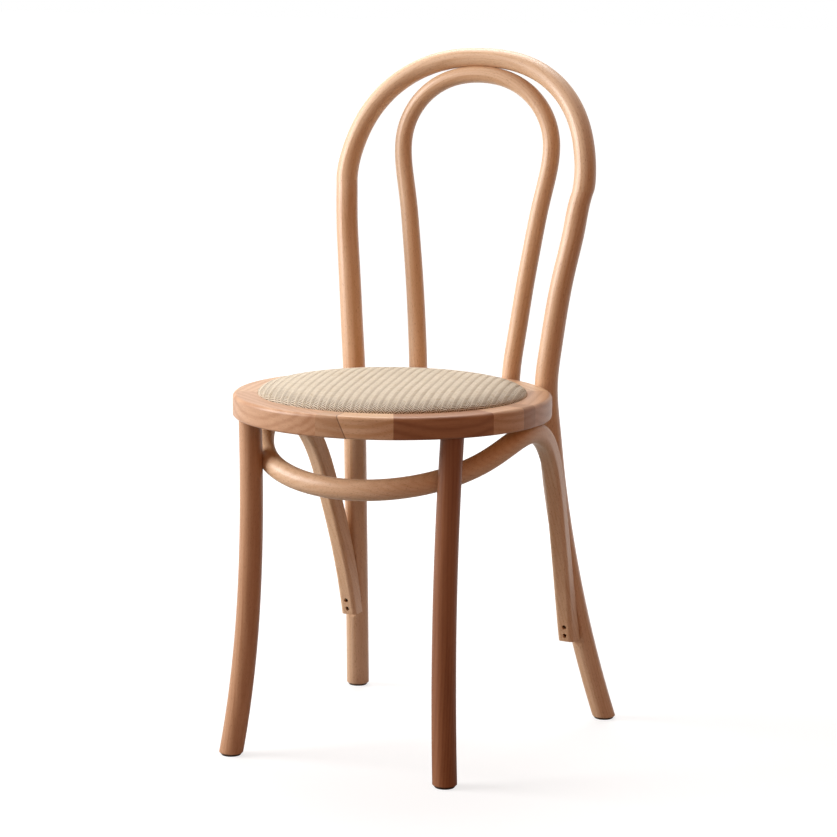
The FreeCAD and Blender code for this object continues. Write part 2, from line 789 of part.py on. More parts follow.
# Front legs
nodes = []
front_rods = []
front_legs = []
for word, side in SIDES.items():
    leg_heights = spread(leg_bottom, front_leg_top, LEG_SECTIONS)
    rod = upright_rod("front_leg_%s" % word, lambda height: front_leg_centre(side, height),
                      front_leg_radius_at, leg_heights)
    front_rods.append(rod)
    tenon = doc.addObject("Part::Cylinder", "tenon_" + word)
    tenon.setExpression("Radius", "sizes.tenon_radius")
    tenon.setExpression("Height", "sizes.tenon_length")
    tenon.Placement = aimed(front_leg_centre(side, front_leg_top), upward)
    blank = joined("front_leg_%s_blank" % word, rod, tenon)
    leg = cut("front_leg_" + word, blank, [brace_leg_holes, glides["front_" + word]])
    front_legs.append(leg)
nodes += front_legs

# Back posts, notched over the rim and planed flat for the brace's ends
for word, side in SIDES.items():
    below = spread(leg_bottom, number("seat_height"), LEG_SECTIONS)
    above = spread(number("seat_height"), shoulder_height, POST_SECTIONS)[1:]
    rod = upright_rod("back_post_%s" % word, lambda height: post_centre(side, height),
                      post_radius_at, below + above)
    plane = doc.addObject("Part::Box", "post_flat_" + word)
    plane.setExpression("Length", "4 * sizes.rear_foot_radius")
    plane.setExpression("Width", "2 * sizes.rear_foot_radius")
    plane.setExpression("Height", "sizes.brace_lap + sizes.post_flat_runout")
    face = lap_point(side, number("brace_end_height")) + lap_back * (number("brace_end_depth") / 2)
    turn = FreeCAD.Rotation(FreeCAD.Vector(1, 0, 0), math.degrees(lap_tilt))
    half_width = FreeCAD.Vector(2 * number("rear_foot_radius"), 0, 0)
    half_depth = FreeCAD.Vector(0, 2 * number("rear_foot_radius"), 0)
    plane.Placement = FreeCAD.Placement(face - half_width - turn.multVec(half_depth), turn)
    runout = doc.addObject("Part::Cylinder", "post_flat_runout_" + word)
    runout.setExpression("Radius", "sizes.post_flat_cutter")
    runout.setExpression("Height", "4 * sizes.rear_foot_radius")
    cutter_axis = face - lap_back * number("post_flat_cutter")
    sideways = FreeCAD.Rotation(FreeCAD.Vector(0, 1, 0), 90)
    runout.Placement = FreeCAD.Placement(cutter_axis - half_width, sideways)
    shaped = cut("back_post_%s_shaped" % word, rod, [rim_form, plane, runout])
    fixings = [post_screw_holes, brace_end_holes, shoulder_dowels, glides["rear_" + word]]
    nodes.append(cut("back_post_" + word, shaped, fixings))

# Arch and inner loop
arch_edge = smooth_line([arch_point(turn) for turn in spread(0, 180, ARCH_POINTS)])
arch_radii = (number("shoulder_radius"), number("arch_radius"))
arch_rod = lofted("back_arch_rod", bow_sections(arch_edge, ARCH_SECTIONS, *arch_radii))
nodes.append(cut("back_arch", arch_rod, [shoulder_dowels, apex_dowel]))
loop_edge = smooth_line(loop_points())
loop_radii = (number("loop_radius"), number("loop_top_radius"))
loop_rod = lofted("inner_loop_rod", bow_sections(loop_edge, LOOP_SECTIONS, *loop_radii))
loop_shaped = cut("inner_loop_shaped", loop_rod, [rim_form, arch_rod])
nodes.append(cut("inner_loop", loop_shaped, [loop_screw_holes, apex_dowel]))

# Brace, its ends trimmed level
brace_edge = smooth_line(brace_points())
brace_rod = lofted("brace_rod", brace_sections(brace_edge))
brace_trims = []
for word, side in SIDES.items():
    trim = doc.addObject("Part::Box", "brace_trim_" + word)
    trim.setExpression("Length", "4 * sizes.brace_end_width")
    trim.setExpression("Width", "4 * sizes.brace_end_depth")
    trim.setExpression("Height", "4 * sizes.brace_end_spare")
    trim_corner = FreeCAD.Vector(2 * number("brace_end_width"), 2 * number("brace_end_depth"),
                                 4 * number("brace_end_spare"))
    trim.Placement.Base = lap_point(side, number("brace_end_height")) - trim_corner
    brace_trims.append(trim)
brace_shaped = cut("brace_shaped", brace_rod, [rim_form] + front_rods + brace_trims)
nodes.append(cut("brace", brace_shaped, [brace_end_holes, brace_leg_holes, brace_peak_holes]))

# Rim segments
rim_fixings = front_legs + [rim_dowels, post_screw_holes, loop_screw_holes, panel_screw_holes]
rim_fixings.append(brace_peak_holes)
next_turns = joint_turns[1:] + [joint_turns[0] + 360]
for index, (joint_turn, next_turn) in enumerate(zip(joint_turns, next_turns), start=1):
    segment = turned_body("rim_blank_%d" % index, rim_corners(), next_turn - joint_turn)
    segment.Placement.Rotation = FreeCAD.Rotation(upward, float(joint_turn) - 90)
    segment.setExpression("Placement.Rotation.Angle", (joint_turn - 90).text)
    nodes.append(cut("rim_segment_%d" % index, segment, rim_fixings))

# Pad: panel, foam and woven cover
panel_corners = [
    (ZERO, ledge_top, None),
    (panel_radius, ledge_top, None),
    (panel_radius, panel_top, None),
    (ZERO, panel_top, None),
]
nodes.append(cut("seat_panel", turned_body("panel_blank", panel_corners), [panel_screw_holes]))

crown_top = seat_height + size("crown_rise")
edge_radius = cover_radius - size("pad_edge_run")
edge_top = seat_height + size("pad_edge_rise")
edge_foot = seat_height - size("pad_edge_drop")
crown_drop = crown_top - edge_top
crown_bend = (edge_radius * edge_radius + crown_drop * crown_drop) / (crown_drop * 2)
inner_edge = edge_radius - size("cover_thickness")
inner_bend = (inner_edge * inner_edge + crown_drop * crown_drop) / (crown_drop * 2)
inner_top = crown_top - size("cover_thickness")
cover_corners = [
    (panel_radius, ledge_top, None),
    (cover_radius, ledge_top, None),
    (cover_radius, edge_foot, size("pad_edge_bend")),
    (edge_radius, edge_top, crown_bend),
    (ZERO, crown_top, None),
    (ZERO, inner_top, ("hollow", inner_bend)),
    (inner_edge, edge_top - size("cover_thickness"), ("hollow", size("pad_edge_bend"))),
    (panel_radius, edge_foot, None),
]
foam_corners = [
    (ZERO, panel_top, None),
    (panel_radius, panel_top, None),
    (panel_radius, edge_foot, size("pad_edge_bend")),
    (inner_edge, edge_top - size("cover_thickness"), inner_bend),
    (ZERO, inner_top, None),
]
nodes.append(turned_body("seat_foam", foam_corners))
nodes.append(turned_body("woven_cover", cover_corners))

nodes += [rim_dowels, shoulder_dowels, apex_dowel, post_screws, loop_screws, panel_screws]
nodes += [brace_peak_screws, brace_leg_screws, brace_end_screws]
nodes += list(glides.values())

doc.recompute()
for item in doc.Objects:
    if "Invalid" in item.State or "Error" in item.State:
        raise RuntimeError("%s failed: %s" % (item.Name, item.State))
os.makedirs("parts", exist_ok=True)
for node in nodes:
    node.Label = node.Name
    if node.Shape.isNull() or not node.Shape.isValid():
        raise RuntimeError("%s has no valid shape" % node.Label)
for node in nodes:
    node.Shape.exportStep("parts/%s.step" % node.Label)
    box = node.Shape.BoundBox
    print("%-20s %2d solids %10.1f mm3  x %7.1f %7.1f  y %7.1f %7.1f  z %7.1f %7.1f" % (
        node.Label, len(node.Shape.Solids), node.Shape.Volume,
        box.XMin, box.XMax, box.YMin, box.YMax, box.ZMin, box.ZMax))
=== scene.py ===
import bisect
import math
import random

import bpy
from mathutils import Matrix, Vector


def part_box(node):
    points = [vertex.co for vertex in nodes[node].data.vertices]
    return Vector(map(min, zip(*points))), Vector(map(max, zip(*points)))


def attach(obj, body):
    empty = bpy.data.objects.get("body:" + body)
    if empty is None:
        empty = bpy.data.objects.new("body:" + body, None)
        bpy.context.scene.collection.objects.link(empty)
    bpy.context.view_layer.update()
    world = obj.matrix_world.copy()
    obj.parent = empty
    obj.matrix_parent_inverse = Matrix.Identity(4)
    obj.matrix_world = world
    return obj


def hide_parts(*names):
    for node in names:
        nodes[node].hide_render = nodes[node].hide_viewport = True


# A bentwood cafe chair in natural beech with a woven pad. Lengths are metres and angles are degrees.
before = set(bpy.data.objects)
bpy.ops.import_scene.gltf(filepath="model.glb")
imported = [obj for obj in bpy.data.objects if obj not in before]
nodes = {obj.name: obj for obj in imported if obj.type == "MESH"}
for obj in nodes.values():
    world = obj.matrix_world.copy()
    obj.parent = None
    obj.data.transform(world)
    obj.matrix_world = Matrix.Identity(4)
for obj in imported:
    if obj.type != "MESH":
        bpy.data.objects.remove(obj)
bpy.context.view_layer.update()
bpy.ops.object.select_all(action="DESELECT")

# Places and sizes that come from the frame
cover_low, cover_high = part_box("woven_cover")
rim_low, rim_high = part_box("rim_segment_1")
dowels_low, dowels_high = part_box("shoulder_dowels")
SEAT_AXIS = Vector(((cover_low.x + cover_high.x) / 2, (cover_low.y + cover_high.y) / 2, 0))
COVER_RADIUS = (cover_high.x - cover_low.x) / 2
PANEL_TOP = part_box("seat_panel")[1].z
SEAT_TOP = rim_high.z
RIM_BOTTOM = rim_low.z
SHOULDER_HEIGHT = (dowels_low.z + dowels_high.z) / 2
ARCH_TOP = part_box("back_arch")[1].z

# The bends of the rods as they are built: how far each goes aside, and the share of it that is curve
POST_FLARE = 0.0315
POST_FLARE_CURVE = 0.39
POST_LEAN = 0.0891
POST_LEAN_CURVE = 0.875
LEAN_RISE = 0.4148
REAR_SPLAY = 0.0458
REAR_SPLAY_CURVE = 0.73
REAR_RAKE = 0.0990
REAR_RAKE_CURVE = 0.59
LEG_FORWARD = 0.031
LEG_FORWARD_CURVE = 0.75
LOOP_WIDE_RISE = 0.290
LOOP_WIDE_HEIGHT = SEAT_TOP + LOOP_WIDE_RISE
LOOP_FOOT_REACH = 0.069
LOOP_FLARE = 0.041
LOOP_FLARE_CURVE = 0.41
LOOP_LEAN_SLOPE = 0.098
BRACE_RUN_TILT = 30.0
BRACE_RUN_START = SEAT_AXIS.y + 0.015
BRACE_RUN_WHOLE = SEAT_AXIS.y + 0.070

# The pad's section: a nearly flat crown that rolls over at its edge and goes down inside the rim
PAD_SPREAD = 0.0022
PAD_RADIUS = COVER_RADIUS + PAD_SPREAD
CROWN_RISE = 0.0170
SECTION_STEPS = 160
SUNK_EDGE = 0.005
CUSHION_STEPS = 24
CUSHION_TURNS = 96
PANEL_GAP = 0.0004
MERGE_REACH = 0.00005
SMOOTH_ANGLE = 50.0

# The pad's weave: flat strips in a twill, three over and three under
STRIP_PITCH = 0.00257
STRIP_BASE_WIDTH = 0.0021
STRIP_TOP_WIDTH = 0.0013
STRIP_THICKNESS = 0.0004
STRIP_SEED = 7
WEAVE_RISE = 0.0002
WEAVE_STEEPNESS = 0.3
TWILL_REPEAT = 6
WEAVE_TURN = 63.0

# The photograph's camera
PICTURE_SIZE = 837
FOCAL_PIXELS = 2990.85
EYE = Vector((1.7623, -3.3478, 1.0294))
AIM = Vector((0.02947, -0.0190, 0.42633))
ROLL = 0.48
SENSOR = 36.0
BACKDROP_WAY = Vector((AIM.x - EYE.x, AIM.y - EYE.y, 0)).normalized()

# The floor, the room and the lamps, each lamp with its place, its size, its power in watts and its tint
WHITE = (1.0, 1.0, 1.0, 1.0)
WARM_ROOM = (1.0, 0.33, 0.06, 1.0)
ROOM_STRENGTH = 0.34
OVERHEAD_START = 0.3
OVERHEAD_WHOLE = 0.9
FLOOR_SIZE = 60.0
FLOOR_GREY = (0.30, 0.30, 0.30, 1.0)
FLOOR_GLOW = 0.76
GLOW_START = 0.4
GLOW_WHOLE = 1.8
LAMP_TARGET = (0.0, 0.0, 0.5)
LAMPS = {
    "key": ((-2.31, -1.2, 1.5), 1.6, 94.0, WHITE),
    "top": ((-0.6, 0.9, 2.6), 1.6, 42.0, WHITE),
    "fill": ((2.6, -2.6, 1.4), 2.2, 8.0, WARM_ROOM),
}


def colour(red, green, blue):
    """A colour given in screen values from 0 to 255."""
    def linear(value):
        share = value / 255
        return share / 12.92 if share <= 0.04045 else ((share + 0.055) / 1.055) ** 2.4

    return (linear(red), linear(green), linear(blue), 1.0)


# Node helpers
def feed(tree, socket, value):
    """Links a socket to another one, or sets its value."""
    if isinstance(value, bpy.types.NodeSocket):
        tree.links.new(value, socket)
    else:
        socket.default_value = value


def place(tree, kind, values=(), **settings):
    """Adds a node, sets its properties, and feeds its inputs by name or number."""
    node = tree.nodes.new(kind)
    for name, value in settings.items():
        setattr(node, name, value)
    for key, value in dict(values).items():
        feed(tree, node.inputs[key], value)
    return node


def calc(tree, operation, *values, clamp=False):
    """The result of a sum on numbers and sockets."""
    node = place(tree, "ShaderNodeMath", enumerate(values), operation=operation, use_clamp=clamp)
    return node.outputs[0]


def between(tree, share, first, second):
    """A value between two values."""
    rest = calc(tree, "SUBTRACT", 1.0, share)
    return calc(tree, "ADD", calc(tree, "MULTIPLY", first, rest), calc(tree, "MULTIPLY", second, share))


def span(tree, first, second):
    """The distance over two lengths at right angles."""
    first_square = calc(tree, "MULTIPLY", first, first)
    second_square = calc(tree, "MULTIPLY", second, second)
    return calc(tree, "SQRT", calc(tree, "ADD", first_square, second_square))


def blend(tree, share, first, second):
    """A colour between two colours."""
    node = place(tree, "ShaderNodeMix", data_type="RGBA")
    sockets = {socket.identifier: socket for socket in node.inputs}
    feed(tree, sockets["Factor_Float"], share)
    feed(tree, sockets["A_Color"], first)
    feed(tree, sockets["B_Color"], second)
    return [socket for socket in node.outputs if socket.identifier == "Result_Color"][0]


def fade(tree, value, start, end, low=0.0, high=1.0):
    """A smooth step of a value from one level to another."""
    values = {"Value": value, "From Min": start, "From Max": end, "To Min": low, "To Max": high}
    node = place(tree, "ShaderNodeMapRange", values, interpolation_type="SMOOTHSTEP")
    return node.outputs["Result"]


def noise(tree, vector, scale, detail=2.0, roughness=0.5):
    """Soft noise from 0 to 1."""
    values = {"Vector": vector, "Scale": scale, "Detail": detail, "Roughness": roughness}
    return place(tree, "ShaderNodeTexNoise", values).outputs["Fac"]


def parts_of(tree, vector):
    """The three parts of a vector."""
    outputs = place(tree, "ShaderNodeSeparateXYZ", {"Vector": vector}).outputs
    return outputs["X"], outputs["Y"], outputs["Z"]


def vector_of(tree, x, y, z):
    """A vector from three parts."""
    return place(tree, "ShaderNodeCombineXYZ", {"X": x, "Y": y, "Z": z}).outputs[0]


def length_of(tree, vector):
    """The length of a vector."""
    return place(tree, "ShaderNodeVectorMath", {0: vector}, operation="LENGTH").outputs["Value"]


def position(tree):
    """Where a point is in the chair's frame."""
    return place(tree, "ShaderNodeTexCoord").outputs["Object"]


def new_group(name, inputs, outputs):
    """An empty node group with its named sockets."""
    group = bpy.data.node_groups.new(name, "ShaderNodeTree")
    for label, kind in inputs:
        group.interface.new_socket(label, in_out="INPUT", socket_type="NodeSocket" + kind)
    for label, kind in outputs:
        group.interface.new_socket(label, in_out="OUTPUT", socket_type="NodeSocket" + kind)
    entry = group.nodes.new("NodeGroupInput")
    leave = group.nodes.new("NodeGroupOutput")
    return group, entry.outputs, leave.inputs


def use_group(tree, group, values):
    """Places a node group in a tree."""
    node = place(tree, "ShaderNodeGroup", node_tree=group)
    for key, value in values.items():
        feed(tree, node.inputs[key], value)
    return node.outputs


# Groups
# The noises in beech: how fine each is, and how far it is drawn out along the grain
WARP = {"scale": 22.0, "stretch": 0.12}
FIBRE = {"scale": 1100.0, "stretch": 0.02, "detail": 3.0, "roughness": 0.6}
STREAK = {"scale": 260.0, "stretch": 0.03}
CLOUD = {"scale": 30.0, "stretch": 0.18}
SPECK = {"scale": 1500.0, "stretch": 0.16, "detail": 1.0}

# How the growth lines lie, and how much each noise darkens, roughens and raises the wood
RING_ACROSS = 0.75
RING_DEEP = 0.66
RING_WARP = 0.016
RING_SHARPNESS = 1.8
FIBRE_TONE = 0.55
STREAK_TONE = 0.9
CLOUD_TONE = 1.5
MIDDLE_TONE = 0.35
FLECK_START = 0.60
FLECK_WHOLE = 0.70
FLECK_TONE = 0.45
FIBRE_ROUGHNESS = 0.14
LEAST_ROUGHNESS = 0.36
FIBRE_HEIGHT = 0.6
RING_HEIGHT = 0.25
FLECK_DEPTH = 0.35


def make_bent_line():
    """How far a rod has bent aside at a height: it starts at a slope of 1 - curve and ends at its reach."""
    group, given, result = new_group(
        "bent line",
        [("Height", "Float"), ("Start", "Float"), ("Rise", "Float"), ("Reach", "Float"), ("Curve", "Float")],
        [("Offset", "Float")])
    climb = calc(group, "SUBTRACT", given["Height"], given["Start"])
    share = calc(group, "DIVIDE", climb, given["Rise"], clamp=True)
    straight = calc(group, "MULTIPLY", share, calc(group, "SUBTRACT", 1.0, given["Curve"]))
    square = calc(group, "MULTIPLY", given["Curve"], calc(group, "MULTIPLY", share, share))
    offset = calc(group, "MULTIPLY", given["Reach"], calc(group, "ADD", straight, square))
    group.links.new(offset, result["Offset"])
    return group


def make_beech_figure():
    """The figure of beech: growth lines, fine fibres, ray flecks and slow changes of tone. Its vector runs
    along the grain on Z."""
    group, given, result = new_group(
        "beech figure",
        [("Grain", "Vector"), ("Seed", "Vector"), ("Light", "Color"), ("Dark", "Color"), ("Fleck", "Color"),
         ("Ring Spacing", "Float"), ("Ring Strength", "Float")],
        [("Color", "Color"), ("Roughness", "Float"), ("Height", "Float")])
    moved = place(group, "ShaderNodeVectorMath", {0: given["Grain"], 1: given["Seed"]}, operation="ADD")
    across, deep, along = parts_of(group, moved.outputs[0])

    def pattern(scale, stretch, detail=2.0, roughness=0.5):
        drawn = vector_of(group, across, deep, calc(group, "MULTIPLY", along, stretch))
        return noise(group, drawn, scale, detail, roughness)

    def swing(value, reach):
        return calc(group, "MULTIPLY", calc(group, "SUBTRACT", value, 0.5), reach)

    sideways = calc(group, "MULTIPLY", across, RING_ACROSS)
    inwards = calc(group, "MULTIPLY", deep, RING_DEEP)
    straight_place = calc(group, "ADD", sideways, inwards)
    ring_place = calc(group, "ADD", straight_place, swing(pattern(**WARP), RING_WARP))
    ring_count = calc(group, "DIVIDE", ring_place, given["Ring Spacing"])
    ring_turn = calc(group, "MULTIPLY", ring_count, 2 * math.pi)
    ring_wave = calc(group, "MULTIPLY_ADD", calc(group, "SINE", ring_turn), 0.5, 0.5)
    ring = calc(group, "POWER", ring_wave, RING_SHARPNESS)
    fibre = pattern(**FIBRE)
    fleck = fade(group, pattern(**SPECK), FLECK_START, FLECK_WHOLE)

    lines = calc(group, "MULTIPLY", ring, given["Ring Strength"])
    fine = calc(group, "ADD", lines, swing(fibre, FIBRE_TONE))
    cloud = calc(group, "ADD", swing(pattern(**CLOUD), CLOUD_TONE), MIDDLE_TONE)
    broad = calc(group, "ADD", swing(pattern(**STREAK), STREAK_TONE), cloud)
    wood = blend(group, calc(group, "ADD", fine, broad, clamp=True), given["Light"], given["Dark"])
    flecked = blend(group, calc(group, "MULTIPLY", fleck, FLECK_TONE), wood, given["Fleck"])
    group.links.new(flecked, result["Color"])

    gloss = calc(group, "MULTIPLY_ADD", fibre, FIBRE_ROUGHNESS, LEAST_ROUGHNESS)
    group.links.new(gloss, result["Roughness"])

    raised = calc(group, "ADD", calc(group, "MULTIPLY", fibre, FIBRE_HEIGHT),
                  calc(group, "MULTIPLY", ring, RING_HEIGHT))
    pitted = calc(group, "SUBTRACT", raised, calc(group, "MULTIPLY", fleck, FLECK_DEPTH))
    group.links.new(pitted, result["Height"])
    return group


bent_line = make_bent_line()
beech_figure = make_beech_figure()


# Grain that follows the bends
def offset_at(tree, height, start, rise, reach, curve):
    """The sideways bend of a rod at a height."""
    values = {"Height": height, "Start": start, "Rise": rise, "Reach": reach, "Curve": curve}
    return use_group(tree, bent_line, values)["Offset"]


def lean_at(tree, height):
    """How far the back leans at a height."""
    return offset_at(tree, height, SEAT_TOP, LEAN_RISE, POST_LEAN, POST_LEAN_CURVE)


def post_grain(tree):
    """Grain along a back post: up its flare and lean, and down its splay and rake."""
    x, y, z = parts_of(tree, position(tree))
    rise = SHOULDER_HEIGHT - SEAT_TOP
    flare = offset_at(tree, z, SEAT_TOP, rise, POST_FLARE, POST_FLARE_CURVE)
    splay = offset_at(tree, z, SEAT_TOP, -SEAT_TOP, REAR_SPLAY, REAR_SPLAY_CURVE)
    rake = offset_at(tree, z, SEAT_TOP, -SEAT_TOP, REAR_RAKE, REAR_RAKE_CURVE)
    across = calc(tree, "SUBTRACT", calc(tree, "ABSOLUTE", x), calc(tree, "ADD", flare, splay))
    deep = calc(tree, "SUBTRACT", y, calc(tree, "ADD", lean_at(tree, z), rake))
    return vector_of(tree, across, deep, z)


def leg_grain(tree):
    """Grain along a front leg, which curves forward to its foot."""
    x, y, z = parts_of(tree, position(tree))
    forward = offset_at(tree, z, RIM_BOTTOM, -RIM_BOTTOM, LEG_FORWARD, LEG_FORWARD_CURVE)
    return vector_of(tree, calc(tree, "ABSOLUTE", x), calc(tree, "ADD", y, forward), z)


def bow_grain(tree, bow_height, bow_radius, narrowing, lean):
    """Grain round a bow: along its arc above bow_height, and down its two legs below it."""
    x, y, z = parts_of(tree, position(tree))
    climb = calc(tree, "SUBTRACT", z, bow_height)
    above = calc(tree, "MAXIMUM", climb, 0.0)
    below = calc(tree, "MINIMUM", climb, 0.0)
    turn = calc(tree, "ARCTAN2", above, x)
    radius = span(tree, x, above)
    across = calc(tree, "ADD", radius, narrowing(tree, z)) if narrowing else radius
    down = calc(tree, "MULTIPLY", below, calc(tree, "SIGN", x))
    along = calc(tree, "ADD", calc(tree, "MULTIPLY", turn, bow_radius), down)
    return vector_of(tree, across, calc(tree, "SUBTRACT", y, lean(tree, z)), along)


def arch_grain(tree):
    """Grain round the arch."""
    return bow_grain(tree, SHOULDER_HEIGHT, ARCH_TOP - SHOULDER_HEIGHT, None, lean_at)


def loop_narrowing(tree, height):
    """How far the loop's legs have drawn in below its widest place."""
    drop = SEAT_TOP - LOOP_WIDE_HEIGHT
    return offset_at(tree, height, LOOP_WIDE_HEIGHT, drop, LOOP_FLARE, LOOP_FLARE_CURVE)


def loop_lean(tree, height):
    """How far the loop leans back at a height."""
    return calc(tree, "MULTIPLY", calc(tree, "SUBTRACT", height, SEAT_TOP), LOOP_LEAN_SLOPE)


def loop_grain(tree):
    """Grain round the inner loop."""
    return bow_grain(tree, LOOP_WIDE_HEIGHT, LOOP_FLARE + LOOP_FOOT_REACH, loop_narrowing, loop_lean)


def brace_front_grain(tree):
    """Grain round the front of the brace, about the seat's axis."""
    x, y, z = parts_of(tree, position(tree))
    forward = calc(tree, "SUBTRACT", SEAT_AXIS.y, y)
    turn = calc(tree, "ARCTAN2", x, forward)
    return vector_of(tree, span(tree, x, forward), z, calc(tree, "MULTIPLY", turn, COVER_RADIUS))


def brace_run_grain(tree):
    """Grain down the brace's two rear runs."""
    x, y, z = parts_of(tree, position(tree))
    cosine = math.cos(math.radians(BRACE_RUN_TILT))
    sine = math.sin(math.radians(BRACE_RUN_TILT))
    deep = calc(tree, "ADD", calc(tree, "MULTIPLY", y, cosine), calc(tree, "MULTIPLY", z, sine))
    down = calc(tree, "SUBTRACT", calc(tree, "MULTIPLY", y, sine), calc(tree, "MULTIPLY", z, cosine))
    return vector_of(tree, x, deep, down)


def brace_second_grain(tree):
    """The rear runs' grain, and where it takes over from the front's."""
    y = parts_of(tree, position(tree))[1]
    return brace_run_grain(tree), fade(tree, y, BRACE_RUN_START, BRACE_RUN_WHOLE)


def segment_grain(turn):
    """Straight grain along the chord of a rim segment, whose middle is a turn from the front."""
    def grain(tree):
        rotation = (0, 0, math.radians(turn - 90))
        values = {"Vector": position(tree), "Location": SEAT_AXIS, "Rotation": rotation}
        local = place(tree, "ShaderNodeMapping", values, vector_type="TEXTURE").outputs[0]
        x, y, z = parts_of(tree, local)
        return vector_of(tree, x, z, y)

    return grain


# Materials
# Beech from pale over golden and red to deep red: the light and the dark tone of each
BEECH_LIGHTS = [colour(228, 200, 168), colour(222, 188, 154), colour(190, 144, 108), colour(156, 104, 68)]
BEECH_DARKS = [colour(212, 176, 138), colour(202, 160, 120), colour(164, 114, 78), colour(128, 78, 46)]
FLECK = colour(146, 100, 66)
GLUE_LINE = colour(70, 36, 20)

# The finish of the beech, and the spacing and strength of the growth lines of the bent rods, the rim boards
# and the hidden wood
BEECH_SPECULAR = 0.5
BACK_COAT = 0.4
COAT_ROUGHNESS = 0.42
GRAIN_BUMP = 0.25
GRAIN_DEPTH = 0.0002
ROD_RINGS = (0.0042, 0.30)
BOARD_RINGS = (0.0075, 0.6)
HIDDEN_RINGS = (0.011, 0.5)
SEED_STEP = (0.37, 0.73, 1.31)
FIRST_BOARD_SEED = 10

# How red each board of the rim is, from 0 to 3
SEGMENT_REDNESS = {1: 0.9, 2: 2.5, 3: 1.4, 4: 1.7, 5: 0.6, 6: 1.4, 7: 0.4, 8: 1.2, 9: 0.7, 10: 1.3, 11: 1.7}

# The glued joints that are drawn on a rim segment: its number, the turns of the joint at the rim's top and
# bottom, the side of the darker board, -1 before the joint or 1 after it, how much darker that board is, and
# how dark the glue line is
# The second joint's darker board is partly the board's own tone and partly painted shade on the rim's right
# end, which faces away from the key lamp
BOARD_JOINTS_AND_SHADE = [(1, 8.3, 11.9, -1, 0.45, 0.65), (3, 81.5, 81.5, 1, 0.60, 0.35)]
JOINT_BLUR = 0.0003
GLUE_REACH = 0.0009


def tone_at(tones, redness):
    """The tone at a redness from 0 to 3, between its two neighbours."""
    lower = min(int(redness), len(tones) - 2)
    share = redness - lower
    return tuple(a + (b - a) * share for a, b in zip(tones[lower], tones[lower + 1]))


def new_material(name):
    """An empty material, its tree and its surface shader."""
    material = bpy.data.materials.new(name)
    material.use_nodes = True
    tree = material.node_tree
    return material, tree, tree.nodes["Principled BSDF"]


def bump(tree, shader, height, strength, distance):
    """Raises a surface by a height pattern."""
    node = place(tree, "ShaderNodeBump", {"Height": height, "Strength": strength, "Distance": distance})
    tree.links.new(node.outputs["Normal"], shader.inputs["Normal"])


def roughen(tree, shader, pattern, spread, least):
    """Roughness that rises with a pattern from its least value."""
    tree.links.new(calc(tree, "MULTIPLY_ADD", pattern, spread, least), shader.inputs["Roughness"])


def beech(name, grain, redness, seed, rings=ROD_RINGS, coat=0.0, second_grain=None):
    """Satin beech whose figure follows a grain. A second grain and its mask take over part of the piece."""
    material, tree, shader = new_material(name)
    spacing, strength = rings
    values = {"Seed": [step * seed for step in SEED_STEP], "Fleck": FLECK, "Ring Spacing": spacing,
              "Ring Strength": strength, "Light": tone_at(BEECH_LIGHTS, redness),
              "Dark": tone_at(BEECH_DARKS, redness)}
    figure = use_group(tree, beech_figure, {"Grain": grain(tree), **values})
    tone, gloss, height = figure["Color"], figure["Roughness"], figure["Height"]
    if second_grain:
        other, mask = second_grain(tree)
        second = use_group(tree, beech_figure, {"Grain": other, **values})
        tone = blend(tree, mask, tone, second["Color"])
        gloss = between(tree, mask, gloss, second["Roughness"])
        height = between(tree, mask, height, second["Height"])
    tree.links.new(tone, shader.inputs["Base Color"])
    tree.links.new(gloss, shader.inputs["Roughness"])
    bump(tree, shader, height, GRAIN_BUMP, GRAIN_DEPTH)
    shader.inputs["Specular IOR Level"].default_value = BEECH_SPECULAR
    shader.inputs["Coat Weight"].default_value = coat
    shader.inputs["Coat Roughness"].default_value = COAT_ROUGHNESS
    return material


def plain_wood(name, light, dark):
    """Bare wood for the dowels and the panel."""
    material, tree, shader = new_material(name)
    x, y, z = parts_of(tree, position(tree))
    spacing, strength = HIDDEN_RINGS
    values = {"Grain": vector_of(tree, x, z, y), "Light": light, "Dark": dark, "Fleck": dark,
              "Ring Spacing": spacing, "Ring Strength": strength}
    figure = use_group(tree, beech_figure, values)
    tree.links.new(figure["Color"], shader.inputs["Base Color"])
    bump(tree, shader, figure["Height"], strength=0.3, distance=GRAIN_DEPTH)
    shader.inputs["Roughness"].default_value = 0.62
    return material


def screw_steel():
    """Dark zinc-plated steel with faint turning marks."""
    material, tree, shader = new_material("screw_steel_finish")
    marks = noise(tree, position(tree), scale=2500.0)
    steel = blend(tree, marks, colour(58, 46, 34), colour(96, 78, 56))
    tree.links.new(steel, shader.inputs["Base Color"])
    roughen(tree, shader, marks, spread=0.3, least=0.3)
    shader.inputs["Metallic"].default_value = 1.0
    return material


def glide_plastic():
    """Near-black plastic, scuffed a little."""
    material, tree, shader = new_material("glide_plastic_finish")
    scuff = noise(tree, position(tree), scale=400.0, detail=3.0)
    plastic = blend(tree, scuff, colour(26, 22, 20), colour(52, 46, 42))
    tree.links.new(plastic, shader.inputs["Base Color"])
    roughen(tree, shader, scuff, spread=0.25, least=0.45)
    bump(tree, shader, scuff, strength=0.2, distance=0.0002)
    return material


